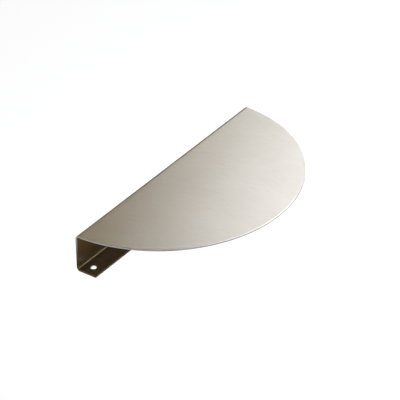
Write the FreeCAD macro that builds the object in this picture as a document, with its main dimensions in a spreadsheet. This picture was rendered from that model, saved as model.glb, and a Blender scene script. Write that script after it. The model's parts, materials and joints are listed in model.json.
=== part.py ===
"""Half-moon tab pull for a cabinet door, folded from one sheet of metal.

Millimetres. The origin is midway between the two screw holes, on the face of the
flange that seats against the back of the door. X runs along the straight edge,
-Y points to the front of the half-moon leaf, and +Z runs from flange to leaf.
"""

import FreeCAD, Part
import math
import os
from enum import IntEnum, auto

import Sketcher

NODE = "half_moon_pull"

SIZES = {
    # Straight edge of the pull, end to end, which is also the half-moon's diameter
    "pull_length": 200.0,
    # Clear height between flange and leaf, for the door and the fingers
    "door_gap": 26.2,
    # Web's outer face to the free edge of the flange
    "flange_depth": 16.3,
    "sheet_thickness": 1.5,
    # Inside radius of both folds
    "bend_radius": 1.5,
    # Radius that eases each straight end of the sheet into the rim of the leaf
    "end_blend": 30.0,
    # Radius left on every cut edge by deburring
    "edge_round": 0.35,
    "hole_diameter": 4.4,
    # End of the pull to the centre of the nearest screw hole
    "hole_from_end": 8.0,
    # Web's outer face to the centre line of the screw holes
    "hole_from_back": 8.4,
}

# Faces that meet at less than this are one smooth surface, with no edge to break
LEAST_SHARP_ANGLE = math.radians(30.0)


class Point(IntEnum):
    """Ends and centre of a sketch's line or arc."""

    START = auto()
    END = auto()
    CENTRE = auto()


class Axis(IntEnum):
    """A sketch's own axes."""

    ACROSS = -1
    UP = -2


# Where both axes of a sketch start
ORIGIN = (Axis.ACROSS, Point.START)


def make_sheet(doc):
    """Write the driving sizes into a spreadsheet, each under its alias."""
    sheet = doc.addObject("Spreadsheet::Sheet", "sizes")
    for row, (alias, value) in enumerate(SIZES.items(), start=1):
        sheet.set(f"A{row}", alias)
        sheet.set(f"B{row}", str(value))
        sheet.setAlias(f"B{row}", alias)
    doc.recompute()
    return sheet


def origin_plane(body, role):
    """The body's own origin plane with this role."""
    return next(plane for plane in body.Origin.OriginFeatures if plane.Role == role)


def new_sketch(body, name, role):
    """A sketch of the body, laid on one of its origin planes."""
    sketch = body.newObject("Sketcher::SketchObject", name)
    sketch.AttachmentSupport = [(origin_plane(body, role), "")]
    sketch.MapMode = "FlatFace"
    return sketch


def line(sketch, start, end):
    """Add a straight line between two points of the sketch."""
    ends = [FreeCAD.Vector(*point, 0) for point in (start, end)]
    return sketch.addGeometry(Part.LineSegment(*ends), False)


def arc(sketch, centre, radius, first, last):
    """Add an arc that turns anticlockwise between two angles in radians."""
    circle = Part.Circle(FreeCAD.Vector(*centre, 0), FreeCAD.Vector(0, 0, 1), radius)
    return sketch.addGeometry(Part.ArcOfCircle(circle, first, last), False)


def constrain(sketch, kind, *places):
    """Add a constraint that has no size."""
    return sketch.addConstraint(Sketcher.Constraint(kind, *places))


def dimension(sketch, name, expression, kind, *places_and_value):
    """Add a dimension and bind it to the driving sizes."""
    number = sketch.addConstraint(Sketcher.Constraint(kind, *places_and_value))
    sketch.renameConstraint(number, name)
    sketch.setExpression(f"Constraints.{name}", expression)


def draw_clip_section(body, sheet):
    """The end view of flange, fold, web and fold, up to where the flat leaf starts."""
    inner = sheet.bend_radius
    outer = inner + sheet.sheet_thickness
    back = sheet.hole_from_back
    fold = back - outer
    inside = back - sheet.sheet_thickness
    free_edge = back - sheet.flange_depth
    under = -sheet.sheet_thickness
    gap = sheet.door_gap
    leaf_top = gap + sheet.sheet_thickness
    low_centre = (fold, inner)
    high_centre = (fold, gap - inner)
    quarter_turn = math.pi / 2

    sketch = new_sketch(body, "clip_section", "YZ_Plane")
    flange_under = line(sketch, (free_edge, under), (fold, under))
    low_outer = arc(sketch, low_centre, outer, -quarter_turn, 0)
    web_outside = line(sketch, (back, inner), (back, gap - inner))
    high_outer = arc(sketch, high_centre, outer, 0, quarter_turn)
    leaf_start = line(sketch, (fold, leaf_top), (fold, gap))
    high_inner = arc(sketch, high_centre, inner, 0, quarter_turn)
    web_inside = line(sketch, (inside, gap - inner), (inside, inner))
    low_inner = arc(sketch, low_centre, inner, -quarter_turn, 0)
    seat = line(sketch, (fold, 0), (free_edge, 0))
    flange_edge = line(sketch, (free_edge, 0), (free_edge, under))

    for first, second in (
        ((flange_under, Point.END), (low_outer, Point.START)),
        ((low_outer, Point.END), (web_outside, Point.START)),
        ((web_outside, Point.END), (high_outer, Point.START)),
        ((high_inner, Point.START), (web_inside, Point.START)),
        ((web_inside, Point.END), (low_inner, Point.END)),
        ((low_inner, Point.START), (seat, Point.START)),
    ):
        constrain(sketch, "Tangent", *first, *second)
    for first, second in (
        ((high_outer, Point.END), (leaf_start, Point.START)),
        ((leaf_start, Point.END), (high_inner, Point.END)),
        ((seat, Point.END), (flange_edge, Point.START)),
        ((flange_edge, Point.END), (flange_under, Point.START)),
        ((low_outer, Point.CENTRE), (low_inner, Point.CENTRE)),
        ((high_outer, Point.CENTRE), (high_inner, Point.CENTRE)),
    ):
        constrain(sketch, "Coincident", *first, *second)
    for level in (flange_under, seat):
        constrain(sketch, "Horizontal", level)
    for upright in (web_outside, web_inside, leaf_start, flange_edge):
        constrain(sketch, "Vertical", upright)
    constrain(sketch, "PointOnObject", high_outer, Point.CENTRE, leaf_start)
    constrain(sketch, "PointOnObject", seat, Point.END, Axis.ACROSS)
    constrain(sketch, "Equal", low_inner, high_inner)

    dimension(sketch, "thickness", "sizes.sheet_thickness", "DistanceY",
              flange_edge, Point.END, flange_edge, Point.START, sheet.sheet_thickness)
    dimension(sketch, "bend", "sizes.bend_radius", "Radius", low_inner, inner)
    dimension(sketch, "back", "sizes.hole_from_back", "DistanceX",
              *ORIGIN, web_outside, Point.START, back)
    dimension(sketch, "depth", "sizes.flange_depth", "DistanceX",
              seat, Point.END, web_outside, Point.START, sheet.flange_depth)
    dimension(sketch, "gap", "sizes.door_gap", "DistanceY",
              seat, Point.END, leaf_start, Point.END, gap)
    return sketch


def draw_leaf_outline(body, sheet):
    """The half-moon: straight along the fold, a short blend at each end, and one long rim.

    The leaf is half a disc that stands on the web's outer face, so it reaches half its
    length from there. The centre of each blend lies on the fold line, so the blend
    leaves the straight end of the sheet in line with it, and the rim meets both blends.
    """
    half_length = sheet.pull_length / 2
    fold = sheet.hole_from_back - sheet.bend_radius - sheet.sheet_thickness
    front = sheet.hole_from_back - half_length
    blend = sheet.end_blend
    blend_across = half_length - blend
    drop = fold - front - blend
    rim_up = (blend_across ** 2 - drop ** 2) / (2 * drop)
    rim_radius = rim_up + fold - front
    turn = math.atan2(-rim_up, blend_across)

    sketch = new_sketch(body, "leaf_outline", "XY_Plane")
    sketch.setExpression("AttachmentOffset.Base.z", "sizes.door_gap")
    fold_line = line(sketch, (-half_length, fold), (half_length, fold))
    left_blend = arc(sketch, (-blend_across, fold), blend, math.pi, math.pi - turn)
    rim = arc(sketch, (0, fold + rim_up), rim_radius, math.pi - turn, math.tau + turn)
    right_blend = arc(sketch, (blend_across, fold), blend, turn, 0)
    front_point = sketch.addGeometry(Part.Point(FreeCAD.Vector(0, front, 0)), True)

    constrain(sketch, "Coincident", fold_line, Point.START, left_blend, Point.START)
    constrain(sketch, "Coincident", fold_line, Point.END, right_blend, Point.END)
    constrain(sketch, "Tangent", left_blend, Point.END, rim, Point.START)
    constrain(sketch, "Tangent", rim, Point.END, right_blend, Point.START)
    constrain(sketch, "Equal", left_blend, right_blend)
    constrain(sketch, "PointOnObject", left_blend, Point.CENTRE, fold_line)
    constrain(sketch, "PointOnObject", right_blend, Point.CENTRE, fold_line)
    constrain(sketch, "Symmetric", fold_line, Point.START, fold_line, Point.END, Axis.UP)
    constrain(sketch, "PointOnObject", front_point, Point.START, Axis.UP)
    constrain(sketch, "PointOnObject", front_point, Point.START, rim)

    dimension(sketch, "length", "sizes.pull_length", "DistanceX",
              fold_line, Point.START, fold_line, Point.END, 2 * half_length)
    dimension(sketch, "blend", "sizes.end_blend", "Radius", left_blend, blend)
    dimension(sketch, "fold", "sizes.hole_from_back - sizes.bend_radius - sizes.sheet_thickness",
              "DistanceY", *ORIGIN, fold_line, Point.START, fold)
    dimension(sketch, "reach", "sizes.pull_length / 2 - sizes.hole_from_back", "DistanceY",
              front_point, Point.START, *ORIGIN, -front)
    return sketch


def draw_screw_hole(body, sheet):
    """One screw hole's circle, on the seating face of the flange."""
    across = sheet.pull_length / 2 - sheet.hole_from_end
    sketch = new_sketch(body, "screw_hole_circle", "XY_Plane")
    circle = Part.Circle(FreeCAD.Vector(across, 0, 0), FreeCAD.Vector(0, 0, 1), sheet.hole_diameter / 2)
    hole = sketch.addGeometry(circle, False)
    constrain(sketch, "PointOnObject", hole, Point.CENTRE, Axis.ACROSS)
    dimension(sketch, "across", "sizes.pull_length / 2 - sizes.hole_from_end", "DistanceX",
              *ORIGIN, hole, Point.CENTRE, across)
    dimension(sketch, "bore", "sizes.hole_diameter", "Diameter", hole, sheet.hole_diameter)
    return sketch


def sharp_edges(shape):
    """Names of the edges at which the surface turns a corner."""
    names = []
    for number, edge in enumerate(shape.Edges, start=1):
        middle = edge.valueAt((edge.FirstParameter + edge.LastParameter) / 2)
        faces = shape.ancestorsOfType(edge, Part.Face)
        normals = [face.normalAt(*face.Surface.parameter(middle)) for face in faces]
        if len(normals) == 2 and normals[0].getAngle(normals[1]) > LEAST_SHARP_ANGLE:
            names.append(f"Edge{number}")
    return names


def make_pull(doc, sheet):
    """The whole pull: folded clip, half-moon leaf, two screw holes and broken edges."""
    body = doc.addObject("PartDesign::Body", "pull_body")
    body.Label = NODE
    body.Placement = FreeCAD.Placement()

    clip = body.newObject("PartDesign::Pad", "clip")
    clip.Profile = draw_clip_section(body, sheet)
    clip.SideType = "Symmetric"
    clip.setExpression("Length", "sizes.pull_length")

    leaf = body.newObject("PartDesign::Pad", "leaf")
    leaf.Profile = draw_leaf_outline(body, sheet)
    leaf.setExpression("Length", "sizes.sheet_thickness")
    doc.recompute()

    hole = body.newObject("PartDesign::Hole", "screw_hole")
    hole.Profile = draw_screw_hole(body, sheet)
    hole.DepthType = "ThroughAll"
    hole.setExpression("Diameter", "sizes.hole_diameter")
    doc.recompute()

    both_holes = body.newObject("PartDesign::Mirrored", "both_screw_holes")
    both_holes.Originals = [hole]
    both_holes.MirrorPlane = (origin_plane(body, "YZ_Plane"), [""])
    body.Tip = both_holes
    doc.recompute()

    broken = body.newObject("PartDesign::Fillet", "broken_edges")
    broken.Base = (both_holes, sharp_edges(both_holes.Shape))
    broken.setExpression("Radius", "sizes.edge_round")
    body.Tip = broken
    doc.recompute()
    return body


def check_document(doc):
    """Stop if anything in the document failed, or a sketch can still move."""
    for item in doc.Objects:
        if {"Invalid", "Error"} & set(item.State):
            raise RuntimeError(f"{item.Name} is {item.State}")
        if item.TypeId == "Sketcher::SketchObject" and not item.FullyConstrained:
            raise RuntimeError(f"{item.Name} is not fully constrained")


def check_features(body):
    """Stop unless each feature adds or removes metal as it should."""
    features = [item for item in body.Group if not item.isDerivedFrom("Part::Part2DObject")]
    volumes = {item.Name: item.Shape.Volume for item in features}
    print({name: round(volume, 1) for name, volume in volumes.items()})
    if not volumes["clip"] < volumes["leaf"]:
        raise RuntimeError("the leaf adds no metal")
    if not volumes["leaf"] > volumes["screw_hole"] > volumes["both_screw_holes"]:
        raise RuntimeError("a screw hole removes no metal")
    if not volumes["both_screw_holes"] > volumes["broken_edges"]:
        raise RuntimeError("the edges are not broken")


def write_part(body):
    """Check the finished shape and write it under the node's name."""
    shape = body.Shape
    if shape.isNull() or not shape.isValid() or len(shape.Solids) != 1:
        raise RuntimeError(f"{body.Label} is not one valid solid")
    os.makedirs("parts", exist_ok=True)
    shape.exportStep(f"parts/{body.Label}.step")
    box = shape.optimalBoundingBox(False)
    print(f"{body.Label}: {box.XLength:.2f} x {box.YLength:.2f} x {box.ZLength:.2f} mm,"
          f" {shape.Volume:.1f} mm3, {len(shape.Faces)} faces")


def main():
    """Build the document, check it and write the part."""
    doc = FreeCAD.newDocument("tab_pull")
    sheet = make_sheet(doc)
    body = make_pull(doc, sheet)
    doc.recompute()
    check_document(doc)
    check_features(body)
    write_part(body)


main()
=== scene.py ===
"""Studio picture of a half-moon tab pull folded from one sheet of brushed steel.

The pull comes packed as one node: a half-disc leaf to grip, an upright web and a screw flange. This
script dresses that node, lights it from its right with soft lamps and looks down on its near end.
All lengths are metres, in the pull's own frame: X runs along the straight edge, -Y points to the
front of the leaf and +Z points from the flange to the leaf.
"""

import json
import logging
import math
from dataclasses import dataclass
from enum import Enum

import bpy
from mathutils import Matrix, Vector

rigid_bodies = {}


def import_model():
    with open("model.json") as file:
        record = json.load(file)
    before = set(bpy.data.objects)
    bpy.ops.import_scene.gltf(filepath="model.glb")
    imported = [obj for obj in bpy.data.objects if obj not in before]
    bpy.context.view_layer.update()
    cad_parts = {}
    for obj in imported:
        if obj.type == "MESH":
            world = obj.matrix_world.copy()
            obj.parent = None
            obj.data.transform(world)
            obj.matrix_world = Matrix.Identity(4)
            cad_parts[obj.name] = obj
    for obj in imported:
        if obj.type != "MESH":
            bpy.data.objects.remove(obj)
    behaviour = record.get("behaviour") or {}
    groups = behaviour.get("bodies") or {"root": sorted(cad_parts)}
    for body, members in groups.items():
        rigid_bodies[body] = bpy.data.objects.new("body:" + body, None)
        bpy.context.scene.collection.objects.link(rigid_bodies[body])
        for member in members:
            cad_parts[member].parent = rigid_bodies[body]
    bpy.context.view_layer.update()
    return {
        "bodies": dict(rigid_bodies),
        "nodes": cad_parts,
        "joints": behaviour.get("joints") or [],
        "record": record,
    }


LOG = logging.getLogger("tab_pull")

MM = 0.001

# A share times what is left of it is a quarter at most, and this brings that peak up to 1
QUARTER_TO_WHOLE = 4.0

Colour = tuple[float, float, float]
Point = tuple[float, float, float]
Face = tuple[int, ...]
Socket = bpy.types.NodeSocket


class Ray(Enum):
    """The kinds of ray that a pale board answers to, by their sockets' names."""

    CAMERA = "Is Camera Ray"
    GLOSSY = "Is Glossy Ray"
    TRANSMISSION = "Is Transmission Ray"


class Sum(Enum):
    """The sums that the finishes do on plain numbers."""

    ADD = "ADD"
    SUBTRACT = "SUBTRACT"
    MULTIPLY = "MULTIPLY"
    SIZE = "ABSOLUTE"
    OVER = "GREATER_THAN"
    LARGER = "MAXIMUM"


class Mix(Enum):
    """What the finishes mix."""

    COLOURS = "RGBA"
    NUMBERS = "FLOAT"


@dataclass(frozen=True)
class Grain:
    """Soft noise: the size of its cells along X, Y and Z, and how many finer layers it has."""

    cell: Point
    layers: float


class Shading:
    """A material's node tree, with one short method for each kind of node that the finishes use."""

    def __init__(self, name: str) -> None:
        """Start an empty material.

        Args:
            name: The material's name.
        """
        self.material = bpy.data.materials.new(name)
        self.material.use_nodes = True
        self.tree = self.material.node_tree
        self.tree.nodes.clear()

    def node(self, kind: str, **settings: object) -> bpy.types.Node:
        """Add a node.

        Args:
            kind: The node's type.
            **settings: Values for the node's own properties.

        Returns:
            The new node.
        """
        made = self.tree.nodes.new(kind)
        for name, value in settings.items():
            setattr(made, name, value)
        return made

    def feed(self, socket: Socket, value: object) -> None:
        """Link another node's socket into a socket, or set the socket to a plain value.

        Args:
            socket: The socket that takes the value.
            value: An output socket, a number, a colour or a vector.
        """
        if isinstance(value, Socket):
            self.tree.links.new(value, socket)
        elif socket.type == "RGBA":
            socket.default_value = (*value, 1.0)
        else:
            socket.default_value = value

    def sum(self, kind: Sum, first: object, second: object = 0.0) -> Socket:
        """Do one sum on two numbers.

        Args:
            kind: Which sum.
            first: The first number or socket.
            second: The second number or socket, where the sum has one.

        Returns:
            The result's socket.
        """
        made = self.node("ShaderNodeMath", operation=kind.value)
        self.feed(made.inputs[0], first)
        self.feed(made.inputs[1], second)
        return made.outputs[0]

    def mean(self, *values: Socket) -> Socket:
        """Take the mean of several numbers.

        Args:
            *values: The numbers' sockets.

        Returns:
            The result's socket.
        """
        total = values[0]
        for value in values[1:]:
            total = self.sum(Sum.ADD, total, value)
        return self.sum(Sum.MULTIPLY, total, 1 / len(values))

    def rescale(self, value: object, low: float, high: float) -> Socket:
        """Spread a number that runs from 0 to 1 over another range.

        Args:
            value: The number's socket.
            low: What 0 becomes.
            high: What 1 becomes.

        Returns:
            The result's socket.
        """
        made = self.node("ShaderNodeMapRange")
        self.feed(made.inputs["Value"], value)
        self.feed(made.inputs["To Min"], low)
        self.feed(made.inputs["To Max"], high)
        return made.outputs["Result"]

    def blend(self, kind: Mix, share: object, first: object, second: object) -> Socket:
        """Mix two colours or two numbers.

        Args:
            kind: Whether colours or numbers are mixed.
            share: How much of the second, from 0 to 1.
            first: The result at share 0.
            second: The result at share 1.

        Returns:
            The result's socket.
        """
        made = self.node("ShaderNodeMix", data_type=kind.value)
        self.feed(made.inputs["Factor"], share)
        self.feed(made.inputs["A"], first)
        self.feed(made.inputs["B"], second)
        return made.outputs["Result"]

    def noise(self, place: Socket, grain: Grain) -> Socket:
        """Add soft noise whose cells have a stated size.

        Args:
            place: The coordinates in metres.
            grain: The noise's cells and layers.

        Returns:
            The noise as a number from 0 to 1.
        """
        stretch = self.node("ShaderNodeVectorMath", operation="DIVIDE")
        self.feed(stretch.inputs[0], place)
        self.feed(stretch.inputs[1], grain.cell)
        made = self.node("ShaderNodeTexNoise")
        self.feed(made.inputs["Vector"], stretch.outputs["Vector"])
        self.feed(made.inputs["Scale"], 1.0)
        self.feed(made.inputs["Detail"], grain.layers)
        return made.outputs["Fac"]

    def split(self, vector: Socket) -> bpy.types.NodeOutputs:
        """Take a vector apart.

        Args:
            vector: The vector's socket.

        Returns:
            The outputs named X, Y and Z.
        """
        made = self.node("ShaderNodeSeparateXYZ")
        self.feed(made.inputs[0], vector)
        return made.outputs

    def facing(self) -> bpy.types.NodeOutputs:
        """Give the direction that the surface faces, as outputs named X, Y and Z."""
        return self.split(self.node("ShaderNodeNewGeometry").outputs["Normal"])

    def seen_by(self, *rays: Ray) -> Socket:
        """Tell whether a ray is of one of the named kinds.

        Args:
            *rays: The kinds of ray.

        Returns:
            A socket that is 1 for those rays and 0 for others.
        """
        path = self.node("ShaderNodeLightPath")
        answer = path.outputs[rays[0].value]
        for ray in rays[1:]:
            answer = self.sum(Sum.LARGER, answer, path.outputs[ray.value])
        return answer

    def finish(self, surface: Socket) -> bpy.types.Material:
        """Put the shader on the material's surface.

        Args:
            surface: The shader's socket.

        Returns:
            The finished material.
        """
        output = self.node("ShaderNodeOutputMaterial")
        self.feed(output.inputs["Surface"], surface)
        return self.material


@dataclass(frozen=True)
class BrushedSteel:
    """Satin stainless sheet, brushed at right angles to the straight edge.

    The grain follows the sheet round both folds, because it is long along Y and Z and fine along X.
    Cut edges, which show the sheet's thickness, are greyer and smoother than its faces, and the
    arris round the leaf's upper face is brighter, partly as rubbed wear and partly as a painted
    highlight. The screw holes' walls that face forwards carry a painted highlight too.
    """

    steel: Colour = (0.585, 0.555, 0.505)
    shade: Colour = (0.465, 0.435, 0.385)
    cut: Colour = (0.42, 0.42, 0.43)
    # Painted highlight on the screw holes' walls that face forwards
    bore_highlight: Colour = (0.92, 0.91, 0.90)
    # Bright arris on the leaf's top: partly rubbed wear, partly a painted highlight
    arris: Colour = (0.95, 0.94, 0.92)
    hairline: Grain = Grain(cell=(0.14 * MM, 28 * MM, 28 * MM), layers=2.0)
    streak: Grain = Grain(cell=(1.1 * MM, 9 * MM, 9 * MM), layers=3.0)
    cloud: Grain = Grain(cell=(24 * MM, 32 * MM, 32 * MM), layers=2.0)
    # What the mean of the three patterns is spread to, where 0 is the shade and 1 the steel
    darkest: float = -0.3
    palest: float = 1.3
    smooth: float = 0.375
    rough: float = 0.47
    cut_rough: float = 0.22
    # The arris is made bright only above this height, partly as rubbed wear and partly as a painted
    # highlight
    wear_and_highlight_above: float = 20 * MM
    # The hole at the +X end, how far from its centre walls carry the painted highlight, and how far they
    # may face back
    hole_place: Point = (92 * MM, 0.0, 0.0)
    hole_reach: float = 2.9 * MM
    bore_turn: float = 0.2
    anisotropy: float = 0.72
    # Z's share in the way across the grain, so that it also has a meaning on the ends
    grain_lean: float = 0.02
    scratch_depth: float = 0.004 * MM
    scratch_strength: float = 0.4

    def material(self, fold_line: float) -> bpy.types.Material:
        """Make the finish.

        Args:
            fold_line: The Y where the flat leaf and flange end and the folds begin.

        Returns:
            The material.
        """
        make = Shading("brushed_steel")
        place = make.node("ShaderNodeTexCoord").outputs["Object"]
        edge = self.cut_edge(make, place, fold_line)
        hair = make.noise(place, self.hairline)
        streak = make.noise(place, self.streak)
        cloud = make.noise(place, self.cloud)
        tone = make.rescale(make.mean(hair, streak, cloud), self.darkest, self.palest)
        face_colour = make.blend(Mix.COLOURS, tone, self.shade, self.steel)
        # Forward-facing screw-hole walls get a painted highlight in place of the cut colour
        cut_and_bore_highlight = make.blend(Mix.COLOURS, self.bore_highlight_walls(make, place), self.cut, self.bore_highlight)
        plain = make.blend(Mix.COLOURS, edge, face_colour, cut_and_bore_highlight)
        # Mask of the leaf's upper arris, which gets a painted highlight that is partly rubbed wear
        arris_highlight = make.sum(Sum.MULTIPLY, self.between(make, edge), self.leaf_top(make, place))
        face_rough = make.rescale(streak, self.rough, self.smooth)
        shader = make.node("ShaderNodeBsdfPrincipled")
        make.feed(shader.inputs["Base Color"], make.blend(Mix.COLOURS, arris_highlight, plain, self.arris))
        make.feed(shader.inputs["Metallic"], 1.0)
        make.feed(shader.inputs["Roughness"], make.blend(Mix.NUMBERS, edge, face_rough, self.cut_rough))
        make.feed(shader.inputs["Anisotropic"], self.anisotropy)
        make.feed(shader.inputs["Tangent"], self.across_grain(make))
        make.feed(shader.inputs["Normal"], self.scratches(make, hair))
        return make.finish(shader.outputs["BSDF"])

    def cut_edge(self, make: Shading, place: Socket, fold_line: float) -> Socket:
        """Find the surfaces that show the sheet's thickness.

        On the flat leaf and flange these face sideways. Past the fold line they face along X.

        Args:
            make: The material being made.
            place: The coordinates in metres.
            fold_line: The Y where the folds begin.

        Returns:
            A socket that is 1 on a cut edge and 0 on a face of the sheet.
        """
        facing = make.facing()
        past_fold = make.sum(Sum.OVER, make.split(place)["Y"], fold_line)
        on_flat = make.sum(Sum.SUBTRACT, 1.0, make.sum(Sum.SIZE, facing["Z"]))
        on_fold = make.sum(Sum.SIZE, facing["X"])
        return make.blend(Mix.NUMBERS, past_fold, on_flat, on_fold)

    def between(self, make: Shading, edge: Socket) -> Socket:
        """Find the rounded arris: 1 halfway from a face to a cut edge, and 0 on both."""
        rest = make.sum(Sum.SUBTRACT, 1.0, edge)
        return make.sum(Sum.MULTIPLY, make.sum(Sum.MULTIPLY, edge, rest), QUARTER_TO_WHOLE)

    def leaf_top(self, make: Shading, place: Socket) -> Socket:
        """Find the upper side of the leaf.

        Args:
            make: The material being made.
            place: The coordinates in metres.

        Returns:
            A socket that is 1 where the sheet faces up at the leaf's height, and 0 elsewhere.
        """
        faces_up = make.sum(Sum.OVER, make.facing()["Z"], 0.0)
        is_high = make.sum(Sum.OVER, make.split(place)["Z"], self.wear_and_highlight_above)
        return make.sum(Sum.MULTIPLY, faces_up, is_high)

    def bore_highlight_walls(self, make: Shading, place: Socket) -> Socket:
        """Find the walls of the screw holes that face forwards or sideways, which get a painted highlight.

        Args:
            make: The material being made.
            place: The coordinates in metres.

        Returns:
            A socket that is 1 on those walls and 0 elsewhere.
        """
        ahead = make.sum(Sum.OVER, self.bore_turn, make.facing()["Y"])
        mirrored = make.node("ShaderNodeVectorMath", operation="ABSOLUTE")
        make.feed(mirrored.inputs[0], place)
        gap = make.node("ShaderNodeVectorMath", operation="DISTANCE")
        make.feed(gap.inputs[0], mirrored.outputs["Vector"])
        make.feed(gap.inputs[1], self.hole_place)
        is_near = make.sum(Sum.OVER, self.hole_reach, gap.outputs["Value"])
        return make.sum(Sum.MULTIPLY, ahead, is_near)

    def across_grain(self, make: Shading) -> Socket:
        """Point across the grain, the way that a brushed highlight spreads.

        Args:
            make: The material being made.

        Returns:
            The direction's socket.
        """
        way = make.node("ShaderNodeCombineXYZ")
        make.feed(way.inputs["X"], 1.0)
        make.feed(way.inputs["Z"], self.grain_lean)
        turned = make.node(
            "ShaderNodeVectorTransform", vector_type="VECTOR", convert_from="OBJECT", convert_to="WORLD"
        )
        make.feed(turned.inputs[0], way.outputs[0])
        return turned.outputs[0]

    def scratches(self, make: Shading, hair: Socket) -> Socket:
        """Raise the hairlines a few thousandths of a millimetre.

        Args:
            make: The material being made.
            hair: The hairline pattern.

        Returns:
            The bumped normal's socket.
        """
        bump = make.node("ShaderNodeBump")
        make.feed(bump.inputs["Strength"], self.scratch_strength)
        make.feed(bump.inputs["Distance"], self.scratch_depth)
        make.feed(bump.inputs["Height"], hair)
        return bump.outputs["Normal"]


@dataclass(frozen=True)
class StageBoard:
    """Matt board of the stage, which keeps its own brightness in the picture and in the metal.

    The brightness comes on top of what the lamps do to its paint, so the board still takes a shadow.
    """

    name: str
    paint: Colour
    glow: Colour

    def material(self) -> bpy.types.Material:
        """Make the finish.

        Returns:
            The material.
        """
        make = Shading(self.name)
        matt = make.node("ShaderNodeBsdfDiffuse")
        make.feed(matt.inputs["Color"], self.paint)
        light = make.node("ShaderNodeEmission")
        make.feed(light.inputs["Color"], self.glow)
        make.feed(light.inputs["Strength"], make.seen_by(Ray.CAMERA, Ray.GLOSSY, Ray.TRANSMISSION))
        both = make.node("ShaderNodeAddShader")
        make.feed(both.inputs[0], matt.outputs[0])
        make.feed(both.inputs[1], light.outputs[0])
        return make.finish(both.outputs[0])


@dataclass
class TabPull:
    """The pull itself: one folded sheet, already modelled, which gets its finish here."""

    node: str = "half_moon_pull"
    fold_line: float = 5.4 * MM
    finish: BrushedSteel = BrushedSteel()

    def dress(self, frame: dict) -> bpy.types.Object:
        """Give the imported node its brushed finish.

        Args:
            frame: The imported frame.

        Returns:
            The dressed object.
        """
        pull = frame["nodes"][self.node]
        steel = self.finish.material(self.fold_line)
        for slot in pull.material_slots:
            slot.material = steel
        return pull


def add_to_stage(
    name: str, places: list[Point], faces: list[Face], material: bpy.types.Material
) -> bpy.types.Object:
    """Make a mesh that belongs to the stage.

    Args:
        name: The object's name.
        places: Where its corners are.
        faces: The corners of each face, by their numbers.
        material: Its finish.

    Returns:
        The new object.
    """
    mesh = bpy.data.meshes.new(name)
    mesh.from_pydata(places, [], faces)
    mesh.materials.append(material)
    made = bpy.data.objects.new(name, mesh)
    bpy.context.scene.collection.objects.link(made)
    return made


@dataclass(frozen=True)
class Sheet:
    """A flat rectangle of the stage."""

    name: str
    centre: Point
    width: float
    depth: float

    def build(self, material: bpy.types.Material) -> bpy.types.Object:
        """Make the rectangle as part of the stage.

        Args:
            material: Its finish.

        Returns:
            The new object.
        """
        across = self.width / 2
        along = self.depth / 2
        corners = [(-across, -along, 0), (across, -along, 0), (across, along, 0), (-across, along, 0)]
        made = add_to_stage(self.name, corners, [(0, 1, 2, 3)], material)
        made.location = self.centre
        return made


@dataclass(frozen=True)
class Cove:
    """A wide round floor that curves up into a low wall, the same board all the way."""

    name: str = "cove"
    floor_height: float = -0.30
    flat_radius: float = 4.6
    bend_radius: float = 0.6
    bend_steps: int = 8
    sides: int = 72

    def build(self, material: bpy.types.Material) -> bpy.types.Object:
        """Make the cove as part of the stage.

        Args:
            material: Its finish.

        Returns:
            The new object.
        """
        rings = self.rings()
        # The first place is the middle, and each ring then has one place per side
        places = [(0.0, 0.0, self.floor_height)]
        for radius, height in rings:
            for side in range(self.sides):
                angle = 2 * math.pi * side / self.sides
                places.append((radius * math.cos(angle), radius * math.sin(angle), height))
        faces = []
        for side in range(self.sides):
            after = (side + 1) % self.sides
            faces.append((0, 1 + side, 1 + after))
            for ring in range(len(rings) - 1):
                low = 1 + ring * self.sides
                high = low + self.sides
                faces.append((low + side, high + side, high + after, low + after))
        return add_to_stage(self.name, places, faces, material)

    def rings(self) -> list[tuple[float, float]]:
        """List the radius and height of each ring, from the flat floor's rim up to the wall.

        Returns:
            The rings, lowest first.
        """
        rings = [(self.flat_radius, self.floor_height)]
        for step in range(1, self.bend_steps + 1):
            turn = math.pi / 2 * step / self.bend_steps
            out = self.flat_radius + self.bend_radius * math.sin(turn)
            rings.append((out, self.floor_height + self.bend_radius * (1 - math.cos(turn))))
        return rings


@dataclass(frozen=True)
class SoftLamp:
    """A rectangular softbox."""

    name: str
    place: Point
    aim: Point
    width: float
    height: float
    radiance: float
    colour: Colour = (1.0, 1.0, 1.0)

    def build(self) -> bpy.types.Object:
        """Hang the softbox, facing its aim.

        Returns:
            The lamp's object.
        """
        lamp = bpy.data.lights.new(self.name, "AREA")
        lamp.shape = "RECTANGLE"
        lamp.size = self.width
        lamp.size_y = self.height
        lamp.color = self.colour
        lamp.energy = self.radiance * math.pi * self.width * self.height
        made = bpy.data.objects.new(self.name, lamp)
        made.location = self.place
        made.rotation_mode = "QUATERNION"
        towards = Vector(self.aim) - Vector(self.place)
        made.rotation_quaternion = towards.to_track_quat("-Z", "Y")
        made.visible_camera = False
        bpy.context.scene.collection.objects.link(made)
        return made


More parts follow.
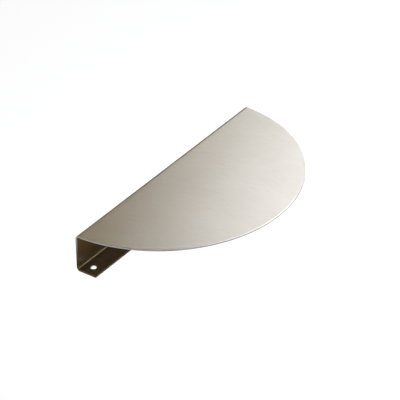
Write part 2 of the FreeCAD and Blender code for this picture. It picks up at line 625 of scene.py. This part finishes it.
@dataclass(frozen=True)
class Studio:
    """A pale cove, brown cards of painted shade under and round the pull, soft lamps and a dim brown room.

    The cards are painted shade that only the metal sees: its web, flange and cut edges mirror them as
    something dark close by, and their brown glow is a painted dim light in that shade.
    """

    white: StageBoard = StageBoard("white_board", paint=(0.25, 0.25, 0.25), glow=(0.80, 0.805, 0.805))
    # Painted shade: a dark board whose brown glow is a painted dim light, used for the cards below
    brown: StageBoard = StageBoard("painted_shade_board", paint=(0.05, 0.03, 0.015), glow=(0.112, 0.062, 0.005))
    cove: Cove = Cove()
    # Cards of painted shade, seen only by the metal, that darken what its web, flange and cut edges mirror
    cards: tuple[Sheet, ...] = (
        Sheet("under_card", centre=(0.01575, -0.044, -0.0062), width=0.2085, depth=0.112),
        Sheet("corner_card", centre=(-0.10175, -0.047, -0.006), width=0.0265, depth=0.082),
        Sheet("end_card", centre=(-0.1165, 0.003, -0.0061), width=0.027, depth=0.074),
        Sheet("left_card", centre=(-0.320, -0.09, -0.006), width=0.29, depth=0.42),
        Sheet("far_card", centre=(0.10, -0.38, -0.006), width=0.50, depth=0.42),
    )
    room: Colour = (0.052, 0.024, 0.004)
    lamps: tuple[SoftLamp, ...] = (
        SoftLamp(
            "right_strip", place=(0.52, 0.0, 0.62), aim=(0.52, 0.0, 0.0),
            width=0.20, height=0.80, radiance=12.0, colour=(0.930, 0.995, 1.125),
        ),
        SoftLamp(
            "warm_panel", place=(1.70, 1.20, 1.40), aim=(0.0, -0.03, 0.0),
            width=2.0, height=2.0, radiance=0.235, colour=(1.0, 0.73, 0.0),
        ),
        SoftLamp(
            "back_panel", place=(-1.0, 2.10, 1.30), aim=(0.0, 0.0, 0.0),
            width=3.0, height=1.8, radiance=0.33, colour=(1.0, 0.97, 0.92),
        ),
        SoftLamp(
            "front_softbox", place=(0.42, -0.45, 0.62), aim=(0.15, -0.10, 0.03),
            width=0.86, height=0.50, radiance=4.9,
        ),
        SoftLamp(
            "low_front_lamp", place=(0.85, -1.15, 0.05), aim=(0.0, 0.0, 0.02),
            width=0.40, height=0.50, radiance=2.4, colour=(1.0, 0.80, 0.50),
        ),
    )

    def build(self) -> None:
        """Set up the stage and the light."""
        self.cove.build(self.white.material())
        self.lay_shade_cards()
        for lamp in self.lamps:
            lamp.build()
        self.dim_room()

    def lay_shade_cards(self) -> None:
        """Lay the painted-shade cards so that they show in the metal alone."""
        brown = self.brown.material()
        for sheet in self.cards:
            card = sheet.build(brown)
            card.visible_camera = False
            card.visible_diffuse = False
            card.visible_shadow = False

    def dim_room(self) -> None:
        """Give the room beyond the cove its colour."""
        world = bpy.data.worlds.new("room")
        bpy.context.scene.world = world
        world.use_nodes = True
        world.node_tree.nodes["Background"].inputs["Color"].default_value = (*self.room, 1.0)


@dataclass(frozen=True)
class Viewpoint:
    """The photograph's camera, a long lens that looks down on the pull's near end.

    It turns about a point on the web's outer face, level with the flange's outer face, and its frame
    is then shifted sideways and up without turning.
    """

    azimuth: float = math.radians(-53.79)
    elevation: float = math.radians(33.66)
    roll: float = math.radians(-1.07)
    distance: float = 2025 * MM
    turning_point: Point = (0.0, 8.4 * MM, -1.5 * MM)
    shift_right: float = 25.81 * MM
    shift_up: float = 2.22 * MM
    focal_pixels: float = 2872.0
    picture_pixels: float = 400.0
    sensor_width_mm: float = 36.0
    nearest: float = 0.1
    farthest: float = 50.0

    def build(self) -> bpy.types.Object:
        """Place the camera and make it the scene's own.

        Returns:
            The camera's object.
        """
        level = Vector((math.cos(self.azimuth), math.sin(self.azimuth), 0.0))
        forward = Vector((-math.sin(self.azimuth), math.cos(self.azimuth), 0.0)) * math.cos(self.elevation)
        forward.z = -math.sin(self.elevation)
        upright = level.cross(forward)
        right = level * math.cos(self.roll) + upright * math.sin(self.roll)
        up = upright * math.cos(self.roll) - level * math.sin(self.roll)
        place = Vector(self.turning_point) - forward * self.distance
        place += right * self.shift_right + up * self.shift_up
        data = bpy.data.cameras.new("camera")
        data.sensor_width = self.sensor_width_mm
        data.lens = self.focal_pixels * self.sensor_width_mm / self.picture_pixels
        data.clip_start = self.nearest
        data.clip_end = self.farthest
        camera = bpy.data.objects.new("camera", data)
        turn = Matrix((right, up, -forward)).transposed()
        camera.matrix_world = Matrix.Translation(place) @ turn.to_4x4()
        bpy.context.scene.collection.objects.link(camera)
        bpy.context.scene.camera = camera
        return camera


def main() -> None:
    """Dress the pull, then build the studio and the camera round it."""
    logging.basicConfig(level=logging.INFO, format="%(name)s: %(message)s")
    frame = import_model()
    bpy.context.scene.view_settings.view_transform = "Standard"
    pull = TabPull().dress(frame)
    LOG.info("%s dressed, %d faces", pull.name, len(pull.data.polygons))
    Studio().build()
    LOG.info("studio set up")
    camera = Viewpoint().build()
    LOG.info("%s placed, %.0f mm lens", camera.name, camera.data.lens)


if __name__ == "__main__":
    main()
